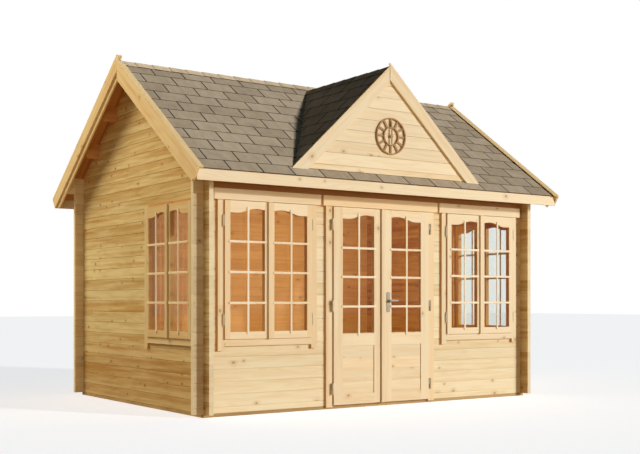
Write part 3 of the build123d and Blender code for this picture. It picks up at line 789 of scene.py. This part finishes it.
# %% Shingle felt
felt = Finish("shingle_felt")
felt_place = felt.place()
tone = felt.node("ShaderNodeAttribute", {"attribute_name": "tone"}, {}, "Fac")
granules = felt.noise(felt_place, 420.0, 2.0, 0.6)
patches = felt.noise(felt_place, 9.0, 4.0, 0.6)
weather = felt.noise(felt_place * (22.0, 5.0, 5.0), 1.0, 3.0, 0.6)
spread = (tone - 0.5) * 0.30 + (patches - 0.5) * 0.6 + (weather - 0.5) * 0.5 + (granules - 0.5) * 0.7
felt_colour = felt.mix((spread + 0.5).fade(0.0, 1.0), paint(156, 138, 114), paint(198, 180, 154))
felt_grain = felt.bump(granules, 0.6, 0.0012)
felt_rough = granules * 0.1 + 0.85
felt.surface(Base_Color=felt_colour, Roughness=felt_rough, Normal=felt_grain, Specular_IOR_Level=0.15)

# Dark felt for the real cut edges, also used for painted shadow along the butts and in the slots
edge_and_shade = Finish("shingle_edge_and_shade")
edge_and_shade_grain = edge_and_shade.noise(edge_and_shade.place(), 300.0, 2.0)
edge_and_shade_colour = edge_and_shade.mix(edge_and_shade_grain, paint(70, 60, 50), paint(104, 90, 74))
edge_and_shade.surface(Base_Color=edge_and_shade_colour, Roughness=edge_and_shade_grain * 0.1 + 0.85, Specular_IOR_Level=0.1)
print("felt ready")

# %% [markdown]
# ## Cutting by straight lines
#
# Tabs are trimmed along a valley with a knife and a straight edge. A tab is a convex outline,
# and cutting it by a line leaves a convex outline, so a valley or a verge is only one more
# line to cut by. Cutting finished meshes would be slower, and it can fail.

# %% Outlines and lines


def neighbours(ring):
    """Each item of a closed ring with the next one."""
    return zip(ring, ring[1:] + ring[:1])


def cut_by(outline, line):
    """The part of a convex outline on the kept side of a line (a, b, c), where a*u + b*v <= c."""
    a, b, c = line
    kept = []
    for start, end in neighbours(outline):
        start_over = a * start[0] + b * start[1] - c
        end_over = a * end[0] + b * end[1] - c
        if start_over <= 0:
            kept.append(start)
        if start_over * end_over < 0:
            share = start_over / (start_over - end_over)
            kept.append(tuple(p + (q - p) * share for p, q in zip(start, end)))
    return kept


def cut_by_all(outline, lines):
    for line in lines:
        outline = cut_by(outline, line)
        if len(outline) < 3:
            return []
    return outline


def area(outline):
    return abs(sum(p[0] * q[1] - q[0] * p[1] for p, q in neighbours(outline))) / 2


def flip(line):
    return tuple(-value for value in line)


def line_through(first, second):
    """The line through two points, with the kept side on the left of the way from first to second."""
    a = second[1] - first[1]
    b = first[0] - second[0]
    return (a, b, a * first[0] + b * first[1])


print("a unit square cut by u + v <= 1 keeps", area(cut_by([(0, 0), (1, 0), (1, 1), (0, 1)], (1, 1, 1))))

# %% [markdown]
# ## Laying the tabs
#
# Thousands of small objects would slow Blender down, so all the tabs of a slope go into one
# mesh. Each point carries a tone, a number that the felt reads to make its tab a little
# paler or darker. A slope has its own coordinates, u along the eave, v up and w out of it.

# %% Felt gathered into a mesh
exposure = 0.190
tab_width = 0.338
slot = 0.007
# Width of the painted shadow strip along a tab's butt and sides
shadow_rim = 0.004
felt_depth = 0.006
sheet_depth = 0.001
head_depth = 0.002
head_lap = 0.020
first_row = 0.170
joint_start = -2.043
sheet_tone = 0.3
uneven = 0.0008
least_row = 0.02
crumb = 1e-4
dice = random.Random(7)


class Felt:
    """Faces of felt gathered into one mesh; kind 0 is the stone face, and kind 1 the cut edge and the
    painted shadow.
    """

    def __init__(self):
        self.points = []
        self.faces = []
        self.kinds = []
        self.tones = []

    def point(self, place, shade):
        self.points.append(tuple(place))
        self.tones.append(shade)
        return len(self.points) - 1

    def face(self, corners, kind):
        self.faces.append(corners)
        self.kinds.append(kind)

    def piece(self, name, node):
        mesh = bpy.data.meshes.new(name)
        mesh.from_pydata(self.points, [], self.faces)
        mesh.materials.append(felt.material)
        mesh.materials.append(edge_and_shade.material)
        for polygon, kind in zip(mesh.polygons, self.kinds):
            polygon.material_index = kind
        values = mesh.attributes.new("tone", "FLOAT", "POINT")
        values.data.foreach_set("value", self.tones)
        mesh.validate()
        made = placed(name, mesh)
        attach(made, "cabin")
        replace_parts(made, node)
        print(name, len(mesh.polygons), "faces")
        return made


# %% A slope and its rows of tabs


class Slope(Felt):
    """One roof slope, laid in its own u, v and w."""

    def __init__(self, origin, along, up):
        super().__init__()
        self.origin = Vector(origin)
        self.along = Vector(along).normalized()
        self.up = Vector(up).normalized()
        self.out = self.along.cross(self.up)

    def put(self, u, v, w, shade):
        return self.point(self.origin + self.along * u + self.up * v + self.out * w, shade)

    def walls(self, top, bottom):
        for (top_a, top_b), (low_a, low_b) in zip(neighbours(top), neighbours(bottom)):
            self.face([top_a, low_a, low_b, top_b], 1)

    def sheet(self, outline):
        """The felt under the tabs, in the dark edge colour: painted shade in the slots."""
        top = [self.put(u, v, sheet_depth - felt_depth, sheet_tone) for u, v in outline]
        bottom = [self.put(u, v, -felt_depth, sheet_tone) for u, v in outline]
        self.face(top, 1)
        self.face(bottom[::-1], 1)
        self.walls(top, bottom)

    def tab(self, left, right, butt, head, lines, drop):
        """One tab as a wedge, cut by lines. A narrow strip along its butt and its sides is painted shadow,
        in the colour of the cut edge.
        """
        outer = cut_by_all([(left, butt), (right, butt), (right, head), (left, head)], lines)
        if len(outer) < 3 or area(outer) < crumb:
            return
        shade = dice.random()

        def height(v):
            return -drop - (v - butt) / (head - butt) * (felt_depth - head_depth)

        bottom = [self.put(u, v, -felt_depth, shade) for u, v in outer]
        top = [self.put(u, v, height(v), shade) for u, v in outer]
        self.walls(top, bottom)
        past_butt = (0, -1, -butt - shadow_rim)
        strips = [
            (0, [(-1, 0, -left - shadow_rim), (1, 0, right - shadow_rim), past_butt]),
            (1, [flip(past_butt)]),
            (1, [(1, 0, left + shadow_rim), past_butt]),
            (1, [(-1, 0, shadow_rim - right), past_butt]),
        ]
        for kind, borders in strips:
            part = cut_by_all(outer, borders)
            if part:
                self.face([self.put(u, v, height(v), shade) for u, v in part], kind)

    def rows(self, length, left, right, regions):
        """Rows of tabs from the eave up to length. regions are lists of cutting lines."""
        butt = 0.0
        head = first_row
        row = 0
        edges = [(-1, 0, -left), (1, 0, right), (0, 1, length)]
        while butt < length - least_row:
            shift = joint_start + (tab_width / 2 if row % 2 == 0 else 0.0)
            start = left - (left - shift) % tab_width
            while start < right:
                for lines in regions:
                    drop = dice.random() * uneven
                    near = start + slot / 2
                    self.tab(near, near + tab_width - slot, butt, head + head_lap, edges + lines, drop)
                start += tab_width
            butt = head
            head += exposure
            row += 1


print("tabs", tab_width * 1000, "mm wide,", exposure * 1000, "mm showing")

# %% [markdown]
# ## The main slopes
#
# The front slope is pierced by the dormer, whose two valleys meet just below the ridge. That
# leaves three regions, left of the dormer, right of it and below its face. Cutting holes in
# finished rows is hard, so each tab is cut for each region. The rear slope has no holes.

# %% Front and rear shingles
eave_reach = 1.718
roof_half = 2.2056
roof_rise = math.tan(roof_alpha)
slope_cos = math.cos(roof_alpha)
slope_sin = math.sin(roof_alpha)
play = 0.0004
slope_long = (eave_reach - play) / slope_cos
eave_high = ridge_high - roof_rise * eave_reach

dormer_face = 1.5906
dormer_rise = math.tan(dormer_alpha)
valley_base = (dormer_high - ridge_high + roof_rise * dormer_face) / dormer_rise
valley_top = (ridge_high - dormer_high) / roof_rise
face_v = (eave_reach - dormer_face) / slope_cos
apex_v = (eave_reach - valley_top) / slope_cos
left_valley = line_through((-valley_base, face_v), (0, apex_v))
right_valley = line_through((0, apex_v), (valley_base, face_v))
below_face = (0, 1, face_v)
front_regions = [
    [left_valley],
    [flip(left_valley), right_valley],
    [flip(left_valley), flip(right_valley), below_face],
]
whole_slope = [(-roof_half, 0), (roof_half, 0), (roof_half, slope_long), (-roof_half, slope_long)]


def main_shingles(side, regions, name, node):
    """The covering of one main slope. side is -1 at the front and 1 at the rear."""
    slope = Slope((0, side * eave_reach, eave_high), (-side, 0, 0), (0, -side * slope_cos, slope_sin))
    slope.sheet(whole_slope)
    slope.rows(slope_long, -roof_half, roof_half, regions)
    return slope.piece(name, node)


front_shingles = main_shingles(-1, front_regions, "shingles_front", "roof_covering_front")
rear_shingles = main_shingles(1, [[]], "shingles_rear", "roof_covering_rear")

# %% [markdown]
# ## The dormer slopes
#
# Each of the dormer's slopes is a triangle: its ridge runs back level until it meets the main
# roof, and the valley comes down from there to the foot of the gable. The rows are laid as
# on the main roof and cut by the valley.

# %% Dormer shingles
dormer_half = 1.1395
dormer_long = (dormer_half - play) / math.cos(dormer_alpha)
dormer_eave = dormer_high - dormer_rise * dormer_half


def dormer_shingles(side, name, node):
    """The covering of one dormer slope. side is -1 on the left and 1 on the right; u is side * y."""
    up = (-side * math.cos(dormer_alpha), 0, math.sin(dormer_alpha))
    slope = Slope((side * dormer_half, 0, dormer_eave), (0, side, 0), up)
    foot = (-side * (ridge_high - dormer_eave) / roof_rise, 0)
    head = (-side * valley_top, dormer_long)
    valley = line_through(foot, head) if side > 0 else line_through(head, foot)
    left, right = sorted((-side * dormer_face, 0))
    slope.sheet(cut_by_all([(left, 0), (right, 0), (right, dormer_long), (left, dormer_long)], [valley]))
    slope.rows(dormer_long, left, right, [[valley]])
    return slope.piece(name, node)


dormer_left = dormer_shingles(-1, "shingles_dormer_left", "dormer_covering_left")
dormer_right = dormer_shingles(1, "shingles_dormer_right", "dormer_covering_right")

# %% [markdown]
# ## Ridge caps
#
# The ridge is closed with single tabs, folded over it and lapped like the rows. Each cap is
# a thin folded plate that stands a little higher at its near end, where it lies on the cap
# before it.

# %% Caps folded over the ridges
cap_reach = 0.0986
cap_near = 0.0078
cap_far = 0.0030
cap_under = 0.0006
least_cap = 0.01


def ridge_caps(name, node, start, along, length, rise_over_run):
    """A row of caps from start along a level ridge, each folded down both slopes."""
    caps = Felt()
    start = Vector(start)
    along = Vector(along)
    across = Vector((0, 0, 1)).cross(along)
    run = cap_reach * math.cos(math.atan(rise_over_run))

    def ring(far, height, shade):
        """Three points across the ridge: the left edge, the fold and the right edge."""
        made = []
        for side in (-1, 0, 1):
            low = -abs(side) * run * rise_over_run + height
            made.append(caps.point(start + along * far + across * side * run + Vector((0, 0, low)), shade))
        return made

    place = 0.0
    while place < length - least_cap:
        shade = dice.random()
        end = min(place + exposure + head_lap, length)
        near_top = ring(place, cap_near, shade)
        near_under = ring(place, cap_under, shade)
        far_top = ring(end, cap_far, shade)
        far_under = ring(end, cap_under, shade)
        for i in (0, 1):
            caps.face([near_top[i], near_top[i + 1], far_top[i + 1], far_top[i]], 0)
            caps.face([far_under[i], far_under[i + 1], near_under[i + 1], near_under[i]], 1)
            caps.face([near_top[i], near_under[i], near_under[i + 1], near_top[i + 1]], 1)
            caps.face([far_top[i + 1], far_under[i + 1], far_under[i], far_top[i]], 1)
        for i in (0, 2):
            caps.face([near_top[i], far_top[i], far_under[i], near_under[i]], 1)
        place += exposure
    return caps.piece(name, node)


ridge_start = (-roof_half, 0, ridge_high)
dormer_start = (0, -dormer_face, dormer_high)
dormer_length = dormer_face - valley_top
main_caps = ridge_caps("ridge_caps", "ridge_cap", ridge_start, (1, 0, 0), 2 * roof_half, roof_rise)
dormer_caps = ridge_caps(
    "dormer_ridge_caps", "dormer_ridge_cap", dormer_start, (0, 1, 0), dormer_length, dormer_rise,
)

# %% [markdown]
# ## Which lamp lights what
#
# Felt is much darker than planed pine, and its shaded slope is nearly black. The soft lamps
# that suit the walls would wash that out and fill the shadow on the ground. Light linking
# lets a lamp skip some pieces, so the front slopes and the floor are left out of the three
# outdoor lamps, and the roof has a sun of its own, which stands a little higher.

# %% Light linking
roof_sun_from = (0.59, -1.0, 0.49)
roof_sun_strength = 2.95
roof_sun = sun_lamp("roof_sun", roof_sun_from, roof_sun_strength)
front_roof = (front_shingles, dormer_left, dormer_right, dormer_caps)
whole_roof = front_roof + (rear_shingles, main_caps)


def linked(name, state, *pieces):
    """A collection that tells a lamp to include or exclude some pieces."""
    made = bpy.data.collections.new(name)
    for piece in pieces:
        made.objects.link(piece)
    for link in made.collection_objects:
        link.light_linking.link_state = state
    return made


sun_only = linked("sun_only", "EXCLUDE", studio_floor, *front_roof)
for name in ("front_light", "side_light", "corner_light"):
    lamps[name].light_linking.receiver_collection = sun_only
sun.light_linking.receiver_collection = linked("below_roof", "EXCLUDE", *whole_roof)
roof_sun.light_linking.receiver_collection = linked("sunlit_roof", "INCLUDE", *whole_roof)

# %% [markdown]
# ## Blocks, rods and boards
#
# Small joinery is planed wood with eased edges and turned steel. A sharp box catches no
# light along its edges and looks like paper, so every block is bevelled. A pile gathers such
# shapes in one mesh, in the window's own coordinates: u to the right as seen from outside,
# v up and w out of the wall.

# %% A pile of small shapes


class Pile:
    """Shapes gathered into one mesh. place puts the local u, v, w into the cabin."""

    def __init__(self, origin, right, up, out):
        self.place = Matrix((right, up, out)).transposed().to_4x4()
        self.place.translation = Vector(origin)
        self.mesh = bmesh.new()

    def block(self, low, high, ease):
        """A block between two corners, with rounded edges."""
        made = bmesh.new()
        centre = (Vector(low) + Vector(high)) / 2
        size = Vector(high) - Vector(low)
        scale = Matrix.Diagonal((size.x, size.y, size.z, 1.0))
        bmesh.ops.create_cube(made, size=1.0, matrix=Matrix.Translation(centre) @ scale)
        bmesh.ops.bevel(made, geom=made.edges, offset=ease, segments=2, affect="EDGES", profile=0.5)
        self.take(made)

    def rod(self, start, end, radius, sides):
        made = bmesh.new()
        start, end = Vector(start), Vector(end)
        turn = (end - start).to_track_quat("Z", "Y").to_matrix().to_4x4()
        matrix = Matrix.Translation((start + end) / 2) @ turn
        bmesh.ops.create_cone(
            made, cap_ends=True, segments=sides, radius1=radius, radius2=radius,
            depth=(end - start).length, matrix=matrix,
        )
        self.take(made)

    def loft(self, rings):
        """A board between closed rings of points, from its back to its face."""
        made = bmesh.new()
        loops = [[made.verts.new(point) for point in ring] for ring in rings]
        for near, far in zip(loops, loops[1:]):
            for (a, b), (d, c) in zip(neighbours(near), neighbours(far)):
                made.faces.new((a, b, c, d))
        made.faces.new(loops[0])
        made.faces.new(loops[-1])
        self.take(made)

    def take(self, made):
        bmesh.ops.transform(made, matrix=self.place, verts=made.verts)
        spare = bpy.data.meshes.new("spare")
        made.to_mesh(spare)
        made.free()
        self.mesh.from_mesh(spare)
        bpy.data.meshes.remove(spare)

    def piece(self, name, finish, slot_name, body="cabin"):
        mesh = bpy.data.meshes.new(name)
        bmesh.ops.recalc_face_normals(self.mesh, faces=self.mesh.faces)
        self.mesh.to_mesh(mesh)
        self.mesh.free()
        mesh.materials.append(finish)
        made = placed(name, mesh)
        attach(made, body)
        print(name, len(mesh.polygons), "faces")
        return made


# %% [markdown]
# ## Glazing bars
#
# The bars only look as if they held small panes. They are thin planed strips, fixed over one
# large pane, and each laps a little onto the stiles and rails. The upright bar lies a hair
# lower than the level ones, as if halved over them, so that no two faces share a plane.

# %% The bars of one pane
bar_wide = 0.022
bar_deep = 0.010
bar_ease = 0.003
bar_halving = 0.0006
bar_lap = 0.016
bars_lay = laid("z", "y", "x", 0.0, 0.30)
bars_wood = pine("bars", bars_lay, paint(250, 238, 212), paint(244, 224, 186), knots=0.0, seed=11.0)


def glazing_bars(pile, side, near, far, face, levels, low, high):
    """Level bars and one upright bar for the pane on one side of the middle."""
    left, right = sorted((side * near, side * far))
    middle = (left + right) / 2
    half = bar_wide / 2
    front = face + bar_deep
    for v in levels:
        pile.block((left - bar_lap, v - half, face), (right + bar_lap, v + half, front), bar_ease)
    pile.block((middle - half, low, face), (middle + half, high, front - bar_halving), bar_ease)


print("bars", bar_wide * 1000, "mm wide")

# %% [markdown]
# ## Window hinges
#
# Each sash hangs on two barrel hinges, and only their barrels show beside the stile: a
# sleeve, and a thinner pin that sticks out of it at both ends. The doors' larger hinges are
# in the fixed model, because the doors turn on them.

# %% Bars and hinges of the windows
hinge_offset = 0.484
hinge_stand = 0.034
hinge_levels = (0.877, 1.775)
hinge_parts = ((0.050, 0.0085, 16), (0.055, 0.0050, 12))  # half length, radius, sides
sash_face = 0.042
sash_bars = (1.03, 1.31, 1.588)
sash_upright = (0.743, 1.904)
up_way = (0, 0, 1)
front_way = ((1, 0, 0), up_way, (0, -1, 0))

# origin, then the ways to the right, up and out
window_ways = {
    "front_left_window": ((-front_middle, -front_face, 0), *front_way),
    "front_right_window": ((front_middle, -front_face, 0), *front_way),
    "left_side_window": ((-side_face, side_middle, 0), (0, -1, 0), up_way, (-1, 0, 0)),
    "right_side_window": ((side_face, side_middle, 0), (0, 1, 0), up_way, (1, 0, 0)),
}
for window, way in window_ways.items():
    bars = Pile(*way)
    for side in (-1, 1):
        glazing_bars(bars, side, pane_near, pane_far, sash_face, sash_bars, *sash_upright)
    bars.piece(f"{window}_bars", bars_wood, "door_wood")
    hinges = Pile(*way)
    for u in (-hinge_offset, hinge_offset):
        for v in hinge_levels:
            for half, radius, faces in hinge_parts:
                hinges.rod((u, v - half, hinge_stand), (u, v + half, hinge_stand), radius, faces)
    hinges.piece(f"{window}_hinges", zinc.material, "metal")

# %% Bars of the doors
leaf_face = 0.041
leaf_bars = (0.993, 1.283, 1.565)
leaf_upright = (0.705, 1.908)
for side, body in ((-1, "door_left"), (1, "door_right")):
    bars = Pile((0, -front_face, 0), *front_way)
    glazing_bars(bars, side, door_pane_near, door_pane_far, leaf_face, leaf_bars, *leaf_upright)
    bars.piece(f"{body}_bars", bars_wood, "door_wood", body)

# %% [markdown]
# ## Cladding of the dormer
#
# The small gable over the doors is closed with level boards that meet in shallow V-joints. The
# joints are cut here as real chamfers, so that the low sun draws a line in each of them. The
# lowest board is planed to the slope of the roof behind its face.

# %% Boards with V-joints in place of the plain wall
cladding_start = 2.344
cladding_board = 0.1177
joint_play = 0.0003
joint_depth = 0.0025
wall_low, wall_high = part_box("dormer_wall")
wall_deep = wall_high.y - wall_low.y
cladding_lay = laid("x", "y", "z", cladding_start, cladding_board)
cladding = pine("dormer_cladding", cladding_lay, trim_pale, trim_honey, gap=0.20, seed=12.0)


def board_ring(low, high, w):
    """The outline of a cladding board between two heights, w in front of the wall's face."""
    foot = (wall_high.z - low) / dormer_rise
    if high >= wall_high.z:
        return [(-foot, low, w), (foot, low, w), (0.0, wall_high.z, w)]
    top = (wall_high.z - high) / dormer_rise
    return [(-foot, low, w), (foot, low, w), (top, high, w), (-top, high, w)]


wall_boards = Pile((0, wall_low.y, 0), *front_way)
joint_count = math.floor((wall_high.z - cladding_start) / cladding_board) + 1
joints = [cladding_start + cladding_board * i for i in range(joint_count)]
heights = [wall_low.z] + joints + [wall_high.z]
for low, high in zip(heights, heights[1:]):
    rings = []
    for w, chamfer in ((-wall_deep, 0.0), (-joint_depth, 0.0), (0.0, joint_depth)):
        start = low - roof_rise * w if low == wall_low.z else low + joint_play + chamfer
        end = high if high == wall_high.z else high - joint_play - chamfer
        rings.append(board_ring(start, end, w))
    wall_boards.loft(rings)
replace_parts(wall_boards.piece("dormer_cladding", cladding, "trim"), "dormer_wall")
